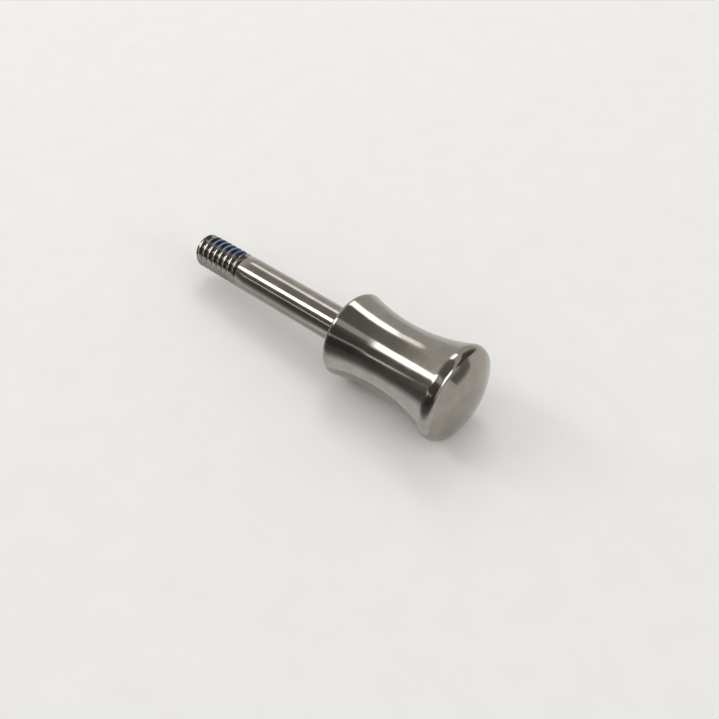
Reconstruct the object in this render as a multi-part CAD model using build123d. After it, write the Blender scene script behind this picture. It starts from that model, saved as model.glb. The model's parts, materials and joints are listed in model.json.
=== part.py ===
"""A turned stainless steel thumb screw: a waisted grip with a domed end, a plain shank and a short
coarse thread that carries a blue nylon locking patch. Millimetres.

The screw is drawn upright, with its axis on Z, the bearing face of the head on z = 0, the head above
it and the shank below. It is then laid down as it comes to rest, on the two rims of its grip, with
the domed end towards +X and the middle of its length over the origin.
"""
from build123d import *
import os
from math import asin, atan2, cos, degrees, hypot, radians, sin, sqrt, tan

# Head, a grip turned to a hollow curve between two rims, with a domed end
HEAD_LENGTH = 24.0
WAIST_DIAMETER = 12.1
WAIST_HEIGHT = 9.2
GRIP_CURVE_RADIUS = 32.0
DOME_RADIUS = 15.0
SEAT_RIM_ROUND = 0.8
DOME_RIM_ROUND = 1.5

# Shank, whose length runs from the bearing face to the tip
SHANK_LENGTH = 35.0
SHANK_DIAMETER = 6.0
UNDERHEAD_BEVEL = 0.3
TIP_CHAMFER_LENGTH = 0.85
TIP_CHAMFER_DEPTH = 0.95

# Thread, right-hand and of no standard size, whose crests stand an allowance inside the plain shank
THREAD_PITCH = 1.25
THREAD_LENGTH = 10.8
THREAD_RUN_OUT = 1.5
THREAD_ALLOWANCE = 0.06
THREAD_START_ANGLE = -54.0

# Locking patch, a nylon coat on one side of the full thread, with the clock angle of its middle
PATCH_FROM_TIP = 1.9
PATCH_TO_RUN_OUT = 0.3
PATCH_ARC = 112.0
PATCH_CLOCK_ANGLE = 142.0
PATCH_CREST_FILM = 0.04
PATCH_FLANK_FILM = 0.06
PATCH_ROOT_FILL = 0.14

# What follows from those sizes: the common 60 degree external thread has flanks at 30 degrees to the
# plane across the axis, a crest flat of an eighth of the pitch and a root flat of a sixth of it
TIP = -SHANK_LENGTH
SHANK_RADIUS = SHANK_DIAMETER / 2
FLANK_ANGLE = radians(30)
CREST_FLAT = THREAD_PITCH / 8
ROOT_FLAT = THREAD_PITCH / 6
CREST_RADIUS = SHANK_RADIUS - THREAD_ALLOWANCE / 2
THREAD_DEPTH = (THREAD_PITCH - CREST_FLAT - ROOT_FLAT) / 2 / tan(FLANK_ANGLE)
ROOT_RADIUS = CREST_RADIUS - THREAD_DEPTH
RUN_OUT_END = TIP + THREAD_LENGTH
RUN_OUT_START = RUN_OUT_END - THREAD_RUN_OUT
PATCH_START = TIP + PATCH_FROM_TIP
PATCH_END = RUN_OUT_START - PATCH_TO_RUN_OUT
# how deep the foot of the swept ridge stands in the core that carries it
RIDGE_FOOT = THREAD_PITCH / 16
FROM_BELOW = (Align.NONE, Align.NONE, Align.MIN)


def upper_crossing(centre_a, radius_a, centre_b, radius_b):
    """The upper point where two circles cross, in the (radius, height) plane of the half section."""
    across, up = centre_b[0] - centre_a[0], centre_b[1] - centre_a[1]
    span = hypot(across, up)
    along = (radius_a**2 - radius_b**2 + span**2) / (2 * span)
    aside = sqrt(radius_a**2 - along**2)
    return (
        centre_a[0] + (along * across - aside * up) / span,
        centre_a[1] + (along * up + aside * across) / span,
    )


def turned_section():
    """Half section of the head, the shank and the cone on which the thread runs out."""
    grip_centre = (WAIST_DIAMETER / 2 + GRIP_CURVE_RADIUS, WAIST_HEIGHT)
    dome_centre = (0, HEAD_LENGTH - DOME_RADIUS)
    seat_corner = (grip_centre[0] - sqrt(GRIP_CURVE_RADIUS**2 - WAIST_HEIGHT**2), 0)
    dome_corner = upper_crossing(dome_centre, DOME_RADIUS, grip_centre, GRIP_CURVE_RADIUS)
    dome_turn = atan2(dome_corner[0], dome_corner[1] - dome_centre[1]) / 2
    dome_middle = (DOME_RADIUS * sin(dome_turn), dome_centre[1] + DOME_RADIUS * cos(dome_turn))
    outline = [
        Polyline(
            (0, HEAD_LENGTH),
            (0, RUN_OUT_START),
            (ROOT_RADIUS, RUN_OUT_START),
            (SHANK_RADIUS, RUN_OUT_END),
            (SHANK_RADIUS, -UNDERHEAD_BEVEL),
            (SHANK_RADIUS + UNDERHEAD_BEVEL, 0),
            seat_corner,
        ),
        ThreePointArc(seat_corner, (WAIST_DIAMETER / 2, WAIST_HEIGHT), dome_corner),
        ThreePointArc(dome_corner, dome_middle, (0, HEAD_LENGTH)),
    ]
    section = make_face(Curve() + outline)
    for corner, radius in ((seat_corner, SEAT_RIM_ROUND), (dome_corner, DOME_RIM_ROUND)):
        section = fillet(section.vertices().sort_by_distance(corner)[0], radius)
    return section


def threaded_rod(core_radius, crest_radius, film=0.0):
    """A core with the thread's ridge wound on it, each flank thicker by the film of a coat.

    It starts a pitch beyond the tip, where it is cut off, and ends inside the plain shank.
    """
    foot_radius = core_radius - RIDGE_FOOT
    start = TIP - THREAD_PITCH

    def half_width(radius):
        return CREST_FLAT / 2 + (CREST_RADIUS - radius) * tan(FLANK_ANGLE) + film / cos(FLANK_ANGLE)

    profile = Polyline(
        (foot_radius, start - half_width(foot_radius)),
        (crest_radius, start - half_width(crest_radius)),
        (crest_radius, start + half_width(crest_radius)),
        (foot_radius, start + half_width(foot_radius)),
        close=True,
    )
    wound = THREAD_LENGTH + 2 * THREAD_PITCH
    path = Helix(THREAD_PITCH, wound, core_radius, center=(0, 0, start))
    ridge = sweep(Plane.XZ * make_face(profile), path=path, is_frenet=True)
    core = Pos(Z=start) * Cylinder(core_radius, wound + 2 * THREAD_PITCH, align=FROM_BELOW)
    return Rot(Z=THREAD_START_ANGLE) * (core + ridge)


def tip_waste():
    """What the cut-off and the chamfering tool take away at the tip."""
    flat_radius = SHANK_RADIUS - TIP_CHAMFER_DEPTH
    far_radius = SHANK_RADIUS + TIP_CHAMFER_DEPTH
    below = TIP - 2 * THREAD_PITCH
    profile = Polyline(
        (0, TIP),
        (flat_radius, TIP),
        (far_radius, TIP + 2 * TIP_CHAMFER_LENGTH),
        (far_radius, below),
        (0, below),
        close=True,
    )
    return revolve(Plane.XZ * make_face(profile), Axis.Z)


def screw_body(section):
    """The screw itself, one turned and threaded piece."""
    threaded = threaded_rod(ROOT_RADIUS, CREST_RADIUS) - tip_waste()
    return threaded + revolve(Plane.XZ * section, Axis.Z)


def locking_patch(screw):
    """The nylon coat: thick in the root of the thread, thinner on its flanks, a film on its crests."""
    coat = threaded_rod(
        ROOT_RADIUS + PATCH_ROOT_FILL, CREST_RADIUS + PATCH_CREST_FILM, PATCH_FLANK_FILM
    )
    wedge = Cylinder(SHANK_DIAMETER, PATCH_END - PATCH_START, arc_size=PATCH_ARC, align=FROM_BELOW)
    place = Pos(Z=PATCH_START) * Rot(Z=PATCH_CLOCK_ANGLE - PATCH_ARC / 2)
    return (coat & place * wedge) - screw


def rest_place(section):
    """Lays the screw on the rims of its grip, and puts the middle of its length over the origin."""
    rounds = section.edges().filter_by(GeomType.CIRCLE).sort_by(Axis.Y)
    seat, dome = rounds[0].arc_center, rounds[-2].arc_center
    rise = atan2(dome.X - seat.X, dome.Y - seat.Y)
    rise += asin((DOME_RIM_ROUND - SEAT_RIM_ROUND) / hypot(dome.X - seat.X, dome.Y - seat.Y))
    seat_height = seat.X * cos(rise) + SEAT_RIM_ROUND - seat.Y * sin(rise)
    middle = (HEAD_LENGTH - SHANK_LENGTH) / 2
    return Pos(-middle * cos(rise), 0, seat_height) * Rot(Y=90 - degrees(rise))


def main():
    section = turned_section()
    screw = screw_body(section)
    patch = locking_patch(screw)
    place = rest_place(section)
    os.makedirs("parts", exist_ok=True)
    export_step(place * screw, "parts/screw.step")
    export_step(place * patch, "parts/locking_patch.step")


main()
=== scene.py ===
"""A turned stainless steel thumb screw with a blue nylon locking patch, as it comes to rest.

The screw's sizes are in millimetres, as on a drawing of it standing upright: its axis is Z, the bearing
face of the head is on z = 0, the head is above it and the shank below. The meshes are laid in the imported
model's place, in metres, by its thread mount, which gives the centre of the tip and the axis. The floor,
the lamps and what the steel mirrors are in metres.
"""
import json
from math import atan2, cos, hypot, pi, radians, sin, sqrt, tan

import bmesh
import bpy
import numpy as np
from mathutils import Matrix, Vector


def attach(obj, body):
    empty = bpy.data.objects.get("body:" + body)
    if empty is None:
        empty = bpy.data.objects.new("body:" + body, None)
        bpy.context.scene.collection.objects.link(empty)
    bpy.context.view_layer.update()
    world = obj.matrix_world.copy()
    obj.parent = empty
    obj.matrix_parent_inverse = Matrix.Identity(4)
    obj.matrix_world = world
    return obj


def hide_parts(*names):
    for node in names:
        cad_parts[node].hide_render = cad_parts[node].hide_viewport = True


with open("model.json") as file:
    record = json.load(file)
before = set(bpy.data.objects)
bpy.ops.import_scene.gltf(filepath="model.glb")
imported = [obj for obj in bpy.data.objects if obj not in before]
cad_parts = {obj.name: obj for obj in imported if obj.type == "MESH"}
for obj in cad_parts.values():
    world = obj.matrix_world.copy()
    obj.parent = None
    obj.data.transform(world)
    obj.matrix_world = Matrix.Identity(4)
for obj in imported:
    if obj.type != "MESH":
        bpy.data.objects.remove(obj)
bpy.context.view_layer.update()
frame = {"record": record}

MM = 0.001

# Head, a grip turned to a hollow curve between two rims, with a domed end
HEAD_LENGTH = 24.0
WAIST_DIAMETER = 12.1
WAIST_HEIGHT = 9.2
GRIP_CURVE_RADIUS = 32.0
DOME_RADIUS = 15.0
SEAT_RIM_ROUND = 0.8
DOME_RIM_ROUND = 1.5

# Shank
SHANK_LENGTH = 35.0
SHANK_RADIUS = 3.0
UNDERHEAD_BEVEL = 0.3
TIP_CHAMFER_LENGTH = 0.85
TIP_CHAMFER_DEPTH = 0.95

# Thread, with small rounds at its crest and root
THREAD_PITCH = 1.25
THREAD_LENGTH = 10.8
THREAD_RUN_OUT = 1.5
THREAD_START_ANGLE = -54.0
CREST_RADIUS = 2.97
FLANK_ANGLE = radians(30)
CREST_FLAT = THREAD_PITCH / 8
ROOT_FLAT = THREAD_PITCH / 6
CREST_ROUND = 0.10
ROOT_ROUND = 0.45

# Locking patch, a coat that fades out at its edges, which waver as two waves added together
PATCH_FROM_TIP = 1.9
PATCH_TO_RUN_OUT = 0.3
PATCH_ARC = 112.0
PATCH_CLOCK_ANGLE = 142.0
PATCH_CREST_FILM = 0.04
PATCH_ROOT_FILL = 0.14
PATCH_EDGE_FADE = 0.16
PATCH_LEAST_COVER = 0.1
PATCH_SUNK = 0.03
PATCH_EDGE_WAVER = 0.05
PATCH_QUICK_WAVE_SHARE = 0.6
# slow and quick wave, in radians for each millimetre of a side or degree of an end, and the phase
PATCH_SIDE_WAVES = (5.1, 11.7, 1.3)
PATCH_END_WAVES = (0.19, 0.41, 0.7)

# What follows from those sizes
TIP = -SHANK_LENGTH
ROOT_RADIUS = CREST_RADIUS - (THREAD_PITCH - CREST_FLAT - ROOT_FLAT) / 2 / tan(FLANK_ANGLE)
RUN_OUT_END = TIP + THREAD_LENGTH
RUN_OUT_START = RUN_OUT_END - THREAD_RUN_OUT
PATCH_START = TIP + PATCH_FROM_TIP
PATCH_END = RUN_OUT_START - PATCH_TO_RUN_OUT

# How fine the meshes are, in cells
AROUND = 160
PER_PITCH = 36
TIP_FACE_CELLS = 5
SHANK_CELLS = 12
SEAT_CELLS = 6
SEAT_RIM_CELLS = 20
GRIP_CELLS = 64
DOME_RIM_CELLS = 28
DOME_CELLS = 36
PATCH_CELLS = 83
WELD_DISTANCE = 1e-4
SPECK_LENGTH = 1e-5
SHARP_ANGLE = radians(35)

# Noises, by their scale for each metre, and the spans that most of their values lie in
FINE_RINGS = 26000.0
BROAD_RINGS = 2600.0
MOTTLE = 420.0
SPECKS = 3200.0
NYLON_GRAIN = 2600.0
PAPER_GRAIN = 160.0
NOISE_SPAN = (0.3, 0.7)
CLOUDY_SPAN = (0.36, 0.62)

# Steel
STEEL_DULL = (0.305, 0.281, 0.252, 1)
STEEL_BRIGHT = (0.362, 0.338, 0.305, 1)
STEEL_ROUGHNESS = (0.07, 0.11)
RINGS_ROUGHNESS = 0.05
RINGS_BUMP = {"Strength": 0.10, "Distance": 0.00002}

# Nylon, from the root of the thread to its crest, and where it is violet or worn thin
# the dark root and pale crest are partly the coat's thickness, partly painted shade in the grooves and a
# painted highlight on the crests
NYLON_BLUES_AND_PAINTED_LIGHT = (
    (0.15, (0.001, 0.003, 0.016)),
    (0.60, (0.002, 0.008, 0.045)),
    (0.78, (0.010, 0.030, 0.100)),
    (0.94, (0.230, 0.290, 0.380)),
)
NYLON_UNEVENNESS = 0.04
NYLON_VIOLET = (0.040, 0.028, 0.110, 1)
VIOLET_LENGTH = 1.5
VIOLET_SHARE = 0.7
# where the coat is worn thin, the root is also painted darker and the crest lighter: painted shade and a
# painted highlight
WORN_ROOT_AND_PAINTED_SHADE = (0.050, 0.056, 0.050, 1)
WORN_CREST_AND_PAINTED_HIGHLIGHT = (0.260, 0.275, 0.255, 1)
WORN_SHARE = 0.95
WORN_FULLY_BEFORE = radians(2)
WORN_NOT_BEYOND = radians(20)
NYLON_ROUGHNESS = (0.28, 0.42)
NYLON_SPECULAR = 0.35
NYLON_BUMP = {"Strength": 0.25, "Distance": 0.00003}

# Floor and room
FLOOR_HALF = 3.0
PAPER_DULL = (0.87, 0.868, 0.862, 1)
PAPER_BRIGHT = (0.89, 0.888, 0.882, 1)
PAPER_ROUGHNESS = 0.9
ROOM_COLOUR = (0.68, 0.67, 0.65, 1)

# Light tent: how far it stands from the screw, and the warm tint of its cards. Angles about the screw
# go up from the camera's side.
REACH = 0.8
CARD_TINT = (1.04, 1.0, 0.95)

# Each card: name, lower and upper angle, distance as a share of the reach, and its greys, each with a
# place along X as a share of that distance
# The cards glow but are no lamps and are seen only in reflections: painted reflections of the tent's pale
# and dark sides
CARDS = (
    ("dark_front", 0, 19, 1.0, ((-3, 0.26), (-1.5, 0.18), (-0.75, 0.12), (-0.3, 0.06), (1.8, 0.06))),
    ("front_edge", 18, 26, 0.99, ((-3, 0.3), (-1.5, 0.4), (-0.75, 1.5), (-0.45, 1.3), (-0.4, 0.12))),
    ("front_edge_side", 23, 28, 0.98, ((-0.45, 0.8), (0, 0.6), (0.5, 0.2))),
    ("dark_front_upper", 19, 45, 1.0, ((-3, 0.26), (-0.75, 0.17), (-0.3, 0.10), (1.8, 0.08))),
    ("dark_front_top", 43, 54, 1.01, ((-0.45, 0.15), (1.8, 0.1))),
    ("ceiling", 68, 112, 1.0, ((-3, 0.9), (-1.5, 0.7), (-0.75, 0.36), (-0.3, 0.2), (1.2, 0.2), (3, 0.3))),
    ("far_side", 134, 176, 1.0, ((0.0, 0.7), (0.3, 0.12), (1.8, 0.12))),
)
# A bright glowing card seen only in reflections: a painted highlight on the steel, which lights nothing
FRONT_GLOW = ("front_glow", 53, 64, 0.9, ((-2.5, 8.0), (-0.6, 8.0)))

# Each long lamp: name, its two ends as a share of the reach along X and an angle, width and radiance
STRIP_LAMPS = (
    ("front_lamp", (-2.6, 58), (-0.5, 58), 18.5, 3.2),
    ("front_lamp_upper", (-2.6, 69), (-1.0, 69), 3, 3.0),
    ("rear_lamp", (-0.64, 125), (-0.1, 117), 17, 3.0),
    ("rear_lamp_end", (-0.98, 130.5), (-0.64, 125.5), 15, 1.4),
)

# Painted reflection: a glowing sheet on the floor before the screw, seen only in reflections, pale near it
# and dark further off. Its greys go by the slope at which a point at that height over the middle line of
# the screw sees the floor, and the line steps forward for the thicker grip.
FRONT_REFLECTION_EYE = 0.007
FRONT_REFLECTION_SLOPES = (
    (0.0, 0.11),
    (0.13, 0.13),
    (0.21, 0.17),
    (0.32, 0.27),
    (0.45, 0.46),
    (0.58, 0.65),
    (0.8, 0.9),
)
FRONT_REFLECTION_STEP_X = (-0.012, -0.004)
FRONT_REFLECTION_STEP_Y = (0.0, -0.0095)
FRONT_REFLECTION_NEAREST = 0.001
FRONT_REFLECTION_HALF_LENGTH = 2.4
FRONT_REFLECTION_LIFT = 0.0002

# Painted reflection: a dark glowing sheet beyond the domed end, seen only in reflections, rising away from
# it, with greys along X in metres
SIDE_REFLECTION_LEVELS = ((0.02, 0.8), (0.10, 0.22), (0.22, 0.22), (0.42, 0.6))
SIDE_REFLECTION_CORNERS = ((0.075, 0.045, 0.001), (0.085, 0.018, 0.001), (0.42, 0.08, 0.03), (0.30, 0.27, 0.03))

# Camera: the photograph's angle of view, and how it stands to the screw, in millimetres
CAMERA_LENS = 47.91
CAMERA_SENSOR = 36.0
CAMERA_ELEVATION = radians(46.27)
CAMERA_AZIMUTH = radians(41.60)
CAMERA_DISTANCE = 156.23
CAMERA_AIM = (7.29, 0.0, 2.20)
CAMERA_CLIP = (0.01, 50)


def thread_mount():
    """The centre of the tip and the way from it to the head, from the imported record."""
    mount = next(m for m in frame["record"]["mounts"] if m["name"] == "thread")
    return Vector(mount["pos_m"]), -Vector(mount["axis"]).normalized()


TIP_CENTRE, AXIS = thread_mount()


def laid_down():
    """Takes points of the upright screw, in millimetres, to their place in the frame, in metres."""
    across = Vector((0, 1, 0))
    down = across.cross(AXIS)
    turn = Matrix((down, across, AXIS)).transposed().to_4x4()
    to_metres = Matrix.Scale(MM, 4)
    return Matrix.Translation(TIP_CENTRE) @ turn @ to_metres @ Matrix.Translation((0, 0, -TIP))


def soft_min(a, b, width):
    """The lower of two heights, with a round of that width where they cross."""
    near = np.maximum(width - np.abs(a - b), 0) / width
    return np.minimum(a, b) - near * near * width / 4


def soft_max(a, b, width):
    """The higher of two heights, with a round of that width where they cross."""
    return -soft_min(-a, -b, width)


def thread_radius(height, angle):
    """Radius of the threaded end at a height and an angle in degrees, all of it: tip, turns, run-out."""
    turns = (height - TIP) / THREAD_PITCH - (angle - THREAD_START_ANGLE) / 360
    off_crest = np.abs(turns - np.round(turns)) * THREAD_PITCH
    flank = CREST_RADIUS - (off_crest - CREST_FLAT / 2) / tan(FLANK_ANGLE)
    turned = soft_max(soft_min(flank, CREST_RADIUS, CREST_ROUND), ROOT_RADIUS, ROOT_ROUND)
    run_out = ROOT_RADIUS + (SHANK_RADIUS - ROOT_RADIUS) * (height - RUN_OUT_START) / THREAD_RUN_OUT
    chamfer = SHANK_RADIUS - TIP_CHAMFER_DEPTH * (1 - (height - TIP) / TIP_CHAMFER_LENGTH)
    return np.minimum(np.maximum(turned, run_out), chamfer)


def helical_grid(low, high, angles):
    """Heights and angles of a grid whose rows follow the thread's helix, held between two planes."""
    lead = THREAD_PITCH * (angles - angles[0]) / 360
    step = THREAD_PITCH / PER_PITCH
    count = int(np.ceil((high - low + lead[-1]) / step))
    rows = high - step * np.arange(count, -1, -1)
    heights = np.clip(rows[:, None] + lead[None, :], low, high)
    return heights, np.broadcast_to(angles, heights.shape)


def line_points(start, end, cells):
    """Points on a straight line in the (radius, height) plane."""
    return np.linspace(start, end, cells + 1)


def arc_points(centre, radius, start, end, cells):
    """Points on an arc in the (radius, height) plane, from one angle to the other."""
    turn = np.linspace(start, end, cells + 1)
    return np.stack([centre[0] + radius * np.cos(turn), centre[1] + radius * np.sin(turn)], 1)


def upper_crossing(centre_a, radius_a, centre_b, radius_b):
    """The upper point where two circles cross, in the (radius, height) plane."""
    across, up = centre_b - centre_a
    span = hypot(across, up)
    along = (radius_a**2 - radius_b**2 + span**2) / (2 * span)
    aside = sqrt(radius_a**2 - along**2)
    return centre_a + np.array((along * across - aside * up, along * up + aside * across)) / span


def heading(start, end):
    """The angle of the way from one point to another, in the (radius, height) plane."""
    across, up = end - start
    return atan2(up, across)


def head_section():
    """The outline of shank and head from the end of the thread to the top of the dome."""
    grip_centre = np.array((WAIST_DIAMETER / 2 + GRIP_CURVE_RADIUS, WAIST_HEIGHT))
    dome_centre = np.array((0, HEAD_LENGTH - DOME_RADIUS))
    reach = GRIP_CURVE_RADIUS + SEAT_RIM_ROUND
    seat_inset = sqrt(reach**2 - (WAIST_HEIGHT - SEAT_RIM_ROUND) ** 2)
    seat_centre = np.array((grip_centre[0] - seat_inset, SEAT_RIM_ROUND))
    rim_centre = upper_crossing(
        dome_centre, DOME_RADIUS - DOME_RIM_ROUND, grip_centre, GRIP_CURVE_RADIUS + DOME_RIM_ROUND
    )
    seat_end = heading(seat_centre, grip_centre)
    rim_start = heading(rim_centre, grip_centre)
    rim_end = heading(dome_centre, rim_centre)
    bevel_foot = (SHANK_RADIUS, -UNDERHEAD_BEVEL)
    bevel_top = (SHANK_RADIUS + UNDERHEAD_BEVEL, 0)
    return np.concatenate(
        [
            line_points((SHANK_RADIUS, RUN_OUT_END), bevel_foot, SHANK_CELLS),
            line_points(bevel_top, (seat_centre[0], 0), SEAT_CELLS),
            arc_points(seat_centre, SEAT_RIM_ROUND, -pi / 2, seat_end, SEAT_RIM_CELLS),
            arc_points(grip_centre, GRIP_CURVE_RADIUS, pi + seat_end, pi + rim_start, GRIP_CELLS),
            arc_points(rim_centre, DOME_RIM_ROUND, rim_start, rim_end, DOME_RIM_CELLS),
            arc_points(dome_centre, DOME_RADIUS, rim_end, pi / 2, DOME_CELLS),
        ]
    )


def add_object(name, data):
    """A new object of the scene, which holds a mesh, a lamp or a camera."""
    item = bpy.data.objects.new(name, data)
    bpy.context.scene.collection.objects.link(item)
    return item


def sheet_faces(first, rows, columns):
    """The faces of a grid of points whose first has that index: quads, and triangles in its corners."""
    corner = first + np.arange(rows - 1)[:, None] * columns + np.arange(columns - 1)[None, :]
    cells = np.stack([corner, corner + 1, corner + columns + 1, corner + columns], -1).tolist()
    faces = []
    # a cell in a corner is cut from its outer point, so that two welded sheets share no triangle
    for row, column, turn in ((0, 0, 0), (-1, -1, 0), (0, -1, 1), (-1, 0, 1)):
        a, b, c, d = np.roll(cells[row][column], -turn).tolist()
        cells[row][column] = [a, b, c]
        faces.append([a, c, d])
    return faces + [cell for line in cells for cell in line]


def weld(mesh):
    """Joins the sheets of a mesh where they meet, and turns every face outwards."""
    work = bmesh.new()
    work.from_mesh(mesh)
    bmesh.ops.remove_doubles(work, verts=work.verts, dist=WELD_DISTANCE)
    bmesh.ops.dissolve_degenerate(work, edges=work.edges, dist=SPECK_LENGTH)
    bmesh.ops.recalc_face_normals(work, faces=work.faces)
    work.to_mesh(mesh)
    work.free()


def sheet_piece(sheets, name, material):
    """One closed piece from sheets of (radius, height, angle) points, laid in its place."""
    points, faces, first = [], [], 0
    for radius, height, angle in sheets:
        turn = np.radians(angle)
        grid = np.stack([radius * np.cos(turn), radius * np.sin(turn), height], -1)
        points.append(grid.reshape(-1, 3))
        faces += sheet_faces(first, *height.shape)
        first += height.size
    mesh = bpy.data.meshes.new(name)
    mesh.from_pydata(np.concatenate(points).tolist(), [], faces)
    weld(mesh)
    mesh.transform(laid_down())
    for polygon in mesh.polygons:
        polygon.use_smooth = True
    mesh.materials.append(material)
    return add_object(name, mesh)


def sharpen(mesh, angle):
    """Marks the edges of a mesh that turn more than an angle as sharp."""
    work = bmesh.new()
    work.from_mesh(mesh)
    for edge in work.edges:
        if len(edge.link_faces) == 2 and edge.calc_face_angle() > angle:
            edge.smooth = False
    work.to_mesh(mesh)
    work.free()


def screw_mesh(material):
    """The whole screw as one skin: tip face, threaded end, plain shank, head and dome."""
    angles = np.linspace(0, 360, AROUND + 1)
    spread = np.ones_like(angles)
    tip_radii = line_points(0, SHANK_RADIUS - TIP_CHAMFER_DEPTH, TIP_FACE_CELLS)
    tip_face = (tip_radii[:, None] * spread, np.full((len(tip_radii), len(angles)), TIP), angles)
    heights, turned = helical_grid(TIP, RUN_OUT_END, angles)
    thread = (thread_radius(heights, turned), heights, turned)
    section = head_section()
    upper = (section[:, :1] * spread, section[:, 1:] * spread, angles)
    sheets = [(r, h, np.broadcast_to(a, h.shape)) for r, h, a in (tip_face, thread, upper)]
    piece = sheet_piece(sheets, "turned_screw", material)
    sharpen(piece.data, SHARP_ANGLE)
    return piece


def waver(place, slow, quick, phase):
    """How far an edge of the patch sways from its line, at places along it."""
    quick_wave = PATCH_QUICK_WAVE_SHARE * np.sin(place * quick + phase)
    return PATCH_EDGE_WAVER * (np.sin(place * slow) + quick_wave)


def patch_cover(heights, turned):
    """How fully the coat covers each point, from 1 within the patch to 0 on its edges."""
    off_middle = np.abs(turned - PATCH_CLOCK_ANGLE)
    to_side = (PATCH_ARC / 2 - off_middle) * pi / 180 * CREST_RADIUS
    to_side = to_side + waver(heights, *PATCH_SIDE_WAVES) - PATCH_EDGE_WAVER
    to_end = np.minimum(heights - PATCH_START, PATCH_END - heights)
    to_end = to_end + waver(turned, *PATCH_END_WAVES) - PATCH_EDGE_WAVER
    # the least cover keeps the two skins apart up to the edge, so that the coat is one closed mesh
    cover = np.clip(np.minimum(to_side, to_end) / PATCH_EDGE_FADE, PATCH_LEAST_COVER, 1)
    cover = cover * cover * (3 - 2 * cover)
    cover[0, :] = cover[-1, :] = 0
    cover[:, 0] = cover[:, -1] = 0
    return cover


def patch_mesh(material):
    """The nylon coat: it fills the root, films the crest and fades out at its wavering edges."""
    half = PATCH_ARC / 2
    angles = np.linspace(PATCH_CLOCK_ANGLE - half, PATCH_CLOCK_ANGLE + half, PATCH_CELLS + 1)
    heights, turned = helical_grid(PATCH_START, PATCH_END, angles)
    steel = thread_radius(heights, turned)
    coat = soft_max(steel + PATCH_CREST_FILM, ROOT_RADIUS + PATCH_ROOT_FILL, ROOT_ROUND)
    inner = steel - PATCH_SUNK
    outer = inner + (coat - inner) * patch_cover(heights, turned)
    return sheet_piece([(outer, heights, turned), (inner, heights, turned)], "nylon_patch", material)


class Nodes:
    """A short way to add and link the nodes of a material or world."""

    def __init__(self, tree):
        self.tree = tree
        tree.nodes.clear()

    def add(self, kind, inputs=(), **settings):
        node = self.tree.nodes.new(kind)
        for key, value in settings.items():
            setattr(node, key, value)
        for socket, value in dict(inputs).items():
            target = node.inputs[socket]
            if isinstance(value, bpy.types.NodeSocket):
                self.tree.links.new(value, target)
            else:
                target.default_value = value
        return node

    def math(self, operation, *values):
        return self.add("ShaderNodeMath", enumerate(values), operation=operation).outputs[0]

    def blend(self, first, first_share, second, second_share):
        """Two values added by their shares."""
        parts = ((first, first_share), (second, second_share))
        return self.math("ADD", *(self.math("MULTIPLY", value, share) for value, share in parts))

    def vector(self, operation, *values):
        node = self.add("ShaderNodeVectorMath", enumerate(values), operation=operation)
        return node.outputs[1 if operation in ("DOT_PRODUCT", "LENGTH") else 0]

    def ramp(self, value, stops):
        node = self.add("ShaderNodeValToRGB", {0: value})
        ramp = node.color_ramp
        while len(ramp.elements) < len(stops):
            ramp.elements.new(1.0)
        for element, (position, colour) in zip(ramp.elements, stops):
            element.position = position
            element.color = (*colour, 1)
        return node.outputs[0]

    def map_range(self, value, from_low, from_high, to_low, to_high):
        inputs = {0: value, 1: from_low, 2: from_high, 3: to_low, 4: to_high}
        return self.add("ShaderNodeMapRange", inputs).outputs[0]

    def noise(self, scale, detail, vector):
        inputs = {"Scale": scale, "Detail": detail, "Vector": vector}
        return self.add("ShaderNodeTexNoise", inputs).outputs[0]

    def rings(self, scale, detail, place):
        """A noise along one line, which is the same all the way round the screw."""
        inputs = {"Scale": scale, "Detail": detail, "W": place}
        return self.add("ShaderNodeTexNoise", inputs, noise_dimensions="1D").outputs[0]

    def mix(self, factor, a, b):
        # the colour sockets of this node share their names with its other kinds, so they go by number
        return self.add("ShaderNodeMix", {0: factor, 6: a, 7: b}, data_type="RGBA").outputs[2]

    def principled(self, **inputs):
        """A surface made by the common shader, whose sockets are named with _ for each space."""
        sockets = {name.replace("_", " "): value for name, value in inputs.items()}
        self.surface(self.add("ShaderNodeBsdfPrincipled", sockets))

    def glow(self, colour):
        """A surface that only glows."""
        self.surface(self.add("ShaderNodeEmission", {"Color": colour, "Strength": 1.0}))

    def surface(self, shader):
        self.add("ShaderNodeOutputMaterial", {"Surface": shader.outputs[0]})


def new_material(name):
    """A material, and the means to fill its nodes."""
    material = bpy.data.materials.new(name)
    material.use_nodes = True
    return material, Nodes(material.node_tree)


def place_on_screw(nodes):
    """Each point, the way to it from the tip, its distance along the axis and its radius, in metres."""
    spot = nodes.add("ShaderNodeTexCoord").outputs["Object"]
    from_tip = nodes.vector("SUBTRACT", spot, tuple(TIP_CENTRE))
    along = nodes.vector("DOT_PRODUCT", from_tip, tuple(AXIS))
    radius = nodes.vector("LENGTH", nodes.vector("CROSS_PRODUCT", from_tip, tuple(AXIS)))
    return spot, from_tip, along, radius


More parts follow.
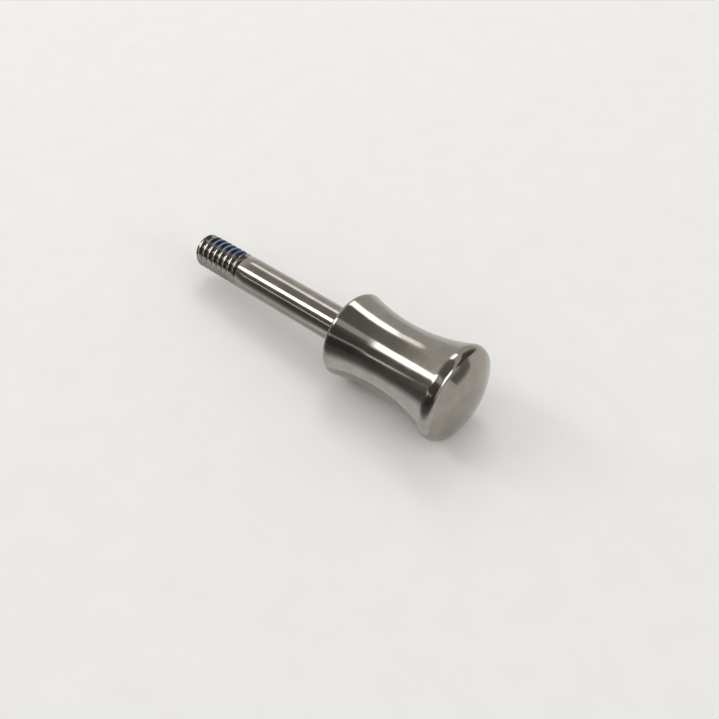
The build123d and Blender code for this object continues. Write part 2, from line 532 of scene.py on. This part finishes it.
def steel_material():
    """Turned and polished stainless steel, with faint rings from the tool and a slightly satin skin."""
    material, nodes = new_material("stainless_steel")
    spot, _, along, radius = place_on_screw(nodes)
    profile = nodes.math("SUBTRACT", along, radius)
    fine_rings = nodes.rings(FINE_RINGS, 2.0, profile)
    broad_rings = nodes.rings(BROAD_RINGS, 3.0, profile)
    mottle = nodes.noise(MOTTLE, 4.0, spot)
    cloudy = nodes.blend(mottle, 0.7, nodes.noise(SPECKS, 2.0, spot), 0.3)
    colour = nodes.mix(nodes.map_range(cloudy, *CLOUDY_SPAN, 0.0, 1.0), STEEL_DULL, STEEL_BRIGHT)
    satin = nodes.map_range(mottle, *NOISE_SPAN, *STEEL_ROUGHNESS)
    roughness = nodes.blend(satin, 1.0, fine_rings, RINGS_ROUGHNESS)
    height = nodes.blend(broad_rings, 0.6, fine_rings, 0.4)
    bump = nodes.add("ShaderNodeBump", {**RINGS_BUMP, "Height": height}).outputs[0]
    nodes.principled(Base_Color=colour, Metallic=1.0, Roughness=roughness, Normal=bump)
    return material


def towards_patch(nodes, from_tip, radius):
    """The cosine of the angle about the axis between a point and the middle of the patch."""
    clock = radians(PATCH_CLOCK_ANGLE)
    middle = (laid_down().to_3x3() @ Vector((cos(clock), sin(clock), 0))).normalized()
    return nodes.math("DIVIDE", nodes.vector("DOT_PRODUCT", from_tip, tuple(middle)), radius)


def nylon_material():
    """Blue nylon, navy where it fills the root and worn thin and pale on the crests and at its sides; the
    dark root and pale crest are partly the coat's thickness and partly painted shade in the grooves and a
    painted highlight on the crests.
    """
    material, nodes = new_material("blue_nylon")
    spot, from_tip, along, radius = place_on_screw(nodes)
    grain = nodes.noise(NYLON_GRAIN, 4.0, spot)
    crest = CREST_RADIUS + PATCH_CREST_FILM
    height = nodes.map_range(radius, ROOT_RADIUS * MM, crest * MM, 0.0, 1.0)
    uneven = nodes.map_range(grain, *NOISE_SPAN, -NYLON_UNEVENNESS, NYLON_UNEVENNESS)
    # the ramp by radius paints shade into the root and a highlight onto the crest, on top of the coat's
    # own thickness
    blue = nodes.ramp(nodes.math("ADD", height, uneven), NYLON_BLUES_AND_PAINTED_LIGHT)
    patch_end = PATCH_END - TIP
    head_end = nodes.map_range(along, (patch_end - VIOLET_LENGTH) * MM, patch_end * MM, 0.0, VIOLET_SHARE)
    violet = nodes.mix(head_end, blue, NYLON_VIOLET)
    half = radians(PATCH_ARC / 2)
    sides = (cos(half - WORN_FULLY_BEFORE), cos(half - WORN_NOT_BEYOND))
    thin = nodes.map_range(towards_patch(nodes, from_tip, radius), *sides, WORN_SHARE, 0.0)
    # the worn coat's darker root and lighter crest are painted shade and a painted highlight too
    colour = nodes.mix(thin, violet, nodes.mix(height, WORN_ROOT_AND_PAINTED_SHADE, WORN_CREST_AND_PAINTED_HIGHLIGHT))
    roughness = nodes.map_range(grain, *NOISE_SPAN, *NYLON_ROUGHNESS)
    bump = nodes.add("ShaderNodeBump", {**NYLON_BUMP, "Height": grain}).outputs[0]
    nodes.principled(
        Base_Color=colour, Roughness=roughness, Normal=bump, Specular_IOR_Level=NYLON_SPECULAR
    )
    return material


def floor_material():
    """Pale matt paper, with a breath of unevenness."""
    material, nodes = new_material("pale_paper")
    spot = nodes.add("ShaderNodeTexCoord").outputs["Object"]
    tone = nodes.map_range(nodes.noise(PAPER_GRAIN, 3.0, spot), *NOISE_SPAN, 0.0, 1.0)
    colour = nodes.mix(tone, PAPER_DULL, PAPER_BRIGHT)
    nodes.principled(Base_Color=colour, Roughness=PAPER_ROUGHNESS, Specular_IOR_Level=0.0)
    return material


def card_material(name, levels, unit):
    """A plain glowing card, lighter or darker along X, that stands round the screw to be mirrored: a
    painted reflection, seen only in reflections.
    """
    material, nodes = new_material(name)
    spot = nodes.add("ShaderNodeTexCoord").outputs["Object"]
    along = nodes.add("ShaderNodeSeparateXYZ", {0: spot}).outputs[0]
    start, end = levels[0][0], levels[-1][0]
    share = nodes.map_range(along, start * unit, end * unit, 0.0, 1.0)
    stops = [((x - start) / (end - start), [level * tint for tint in CARD_TINT]) for x, level in levels]
    nodes.glow(nodes.ramp(share, stops))
    return material


def flat_mesh(name, corners, material):
    """A mesh of one flat face."""
    mesh = bpy.data.meshes.new(name)
    mesh.from_pydata(corners, [], [(0, 1, 2, 3)])
    mesh.materials.append(material)
    return mesh


def only_mirrored(name, corners, material):
    """A flat card that is only seen in reflections."""
    piece = add_object(name, flat_mesh(name, corners, material))
    piece.visible_camera = False
    piece.visible_diffuse = False
    piece.visible_shadow = False


def around_axis(angle, distance):
    """Y and Z of a point at an angle about X, counted up from the side that the camera is on."""
    return (-distance * cos(radians(angle)), distance * sin(radians(angle)))


def long_card(name, from_angle, to_angle, share, levels):
    """A card of the light tent that runs along X and spans an angle about the screw."""
    distance = REACH * share
    (y_low, z_low), (y_high, z_high) = around_axis(from_angle, distance), around_axis(to_angle, distance)
    start, end = levels[0][0] * distance, levels[-1][0] * distance
    corners = [(start, y_low, z_low), (end, y_low, z_low), (end, y_high, z_high), (start, y_high, z_high)]
    only_mirrored(name, corners, card_material(name, levels, distance))


def front_painted_reflection():
    """A glowing sheet on the floor before the screw, seen only in reflections, which turns from pale to
    dark as it runs away from it: a painted reflection.
    """
    material, nodes = new_material("front_painted_reflection")
    spot = nodes.add("ShaderNodeTexCoord").outputs["Object"]
    x, y, _ = nodes.add("ShaderNodeSeparateXYZ", {0: spot}).outputs
    line = nodes.map_range(x, *FRONT_REFLECTION_STEP_X, *FRONT_REFLECTION_STEP_Y)
    away = nodes.math("MAXIMUM", nodes.math("SUBTRACT", line, y), FRONT_REFLECTION_NEAREST)
    slope = nodes.math("DIVIDE", FRONT_REFLECTION_EYE, away)
    nodes.glow(nodes.ramp(slope, [(place, (level, level, level)) for place, level in FRONT_REFLECTION_SLOPES]))
    steepest = FRONT_REFLECTION_SLOPES[-1][0]
    near, far, half = -FRONT_REFLECTION_EYE / steepest, -REACH, FRONT_REFLECTION_HALF_LENGTH
    outline = ((-half, far), (half, far), (half, near), (-half, near))
    only_mirrored("front_painted_reflection", [(*corner, FRONT_REFLECTION_LIFT) for corner in outline], material)


def side_painted_reflection():
    """A dark glowing sheet beyond the domed end, seen only in reflections, which paints a soft dark smudge
    on the dome.
    """
    material = card_material("side_painted_reflection", SIDE_REFLECTION_LEVELS, 1.0)
    only_mirrored("side_painted_reflection", SIDE_REFLECTION_CORNERS, material)


def area_lamp(name, place, turn, length, width, radiance):
    """A soft oblong lamp that shines along its own -Z, and that the camera doesn't see."""
    light = bpy.data.lights.new(name, "AREA")
    light.shape = "RECTANGLE"
    light.size = length
    light.size_y = width
    light.energy = radiance * pi * light.size * light.size_y
    lamp = add_object(name, light)
    lamp.matrix_world = Matrix.Translation(place) @ turn.to_4x4()
    lamp.visible_camera = False


def strip_lamp(name, start, end, width, radiance):
    """A long soft lamp between two places, each a share of the reach along X and an angle."""
    first, last = (Vector((x, *around_axis(angle, 1))) * REACH for x, angle in (start, end))
    along = (last - first).normalized()
    middle = (first + last) / 2
    back = middle - along * middle.dot(along)
    side = back.normalized().cross(along)
    turn = Matrix((along, side, back.normalized())).transposed()
    across = 2 * back.length * tan(radians(width / 2))
    area_lamp(name, middle, turn, (last - first).length, across, radiance)


def way_out(azimuth, elevation):
    """The way out from the middle of the scene, at an azimuth from -Y towards +X."""
    flat = cos(elevation)
    return Vector((flat * sin(azimuth), -flat * cos(azimuth), sin(elevation)))


def side_lamp(azimuth, elevation, width, height, distance, radiance):
    """An upright lamp beside the domed end, with its place and size as angles."""
    way = way_out(radians(azimuth), radians(elevation))
    turn = way.to_track_quat("Z", "Y").to_matrix()
    across, upright = (2 * distance * tan(radians(angle / 2)) for angle in (width, height))
    area_lamp("side_lamp", way * distance, turn, across, upright, radiance)


def light_tent():
    """The lamps that light the screw, and the paler and darker glowing cards that its steel mirrors, which
    are painted reflections.
    """
    for card in CARDS:
        long_card(*card)
    for lamp in STRIP_LAMPS:
        strip_lamp(*lamp)
    long_card(*FRONT_GLOW)
    side_lamp(azimuth=92, elevation=22, width=22, height=18, distance=1.2, radiance=4.0)
    front_painted_reflection()
    side_painted_reflection()


def world_light():
    """The room's even light."""
    world = bpy.data.worlds.new("pale_room")
    bpy.context.scene.world = world
    world.use_nodes = True
    nodes = Nodes(world.node_tree)
    background = nodes.add("ShaderNodeBackground", {"Color": ROOM_COLOUR, "Strength": 1.0})
    nodes.add("ShaderNodeOutputWorld", {"Surface": background.outputs[0]})


def add_floor():
    """The surface that the screw lies on."""
    half = FLOOR_HALF
    corners = [(-half, -half, 0), (half, -half, 0), (half, half, 0), (-half, half, 0)]
    floor = add_object("floor", flat_mesh("floor", corners, floor_material()))


def add_camera():
    """The camera, which sees the screw as the photograph does."""
    away = way_out(CAMERA_AZIMUTH, CAMERA_ELEVATION)
    data = bpy.data.cameras.new("camera")
    data.lens = CAMERA_LENS
    data.sensor_width = CAMERA_SENSOR
    data.clip_start, data.clip_end = CAMERA_CLIP
    camera = add_object("camera", data)
    camera.location = (Vector(CAMERA_AIM) + away * CAMERA_DISTANCE) * MM
    camera.rotation_euler = away.to_track_quat("Z", "Y").to_euler()
    bpy.context.scene.camera = camera


def main():
    screw = screw_mesh(steel_material())
    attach(screw, "root")
    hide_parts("screw")
    patch = patch_mesh(nylon_material())
    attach(patch, "root")
    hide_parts("locking_patch")
    add_floor()
    light_tent()
    world_light()
    add_camera()
    bpy.context.scene.view_settings.view_transform = "Standard"


main()
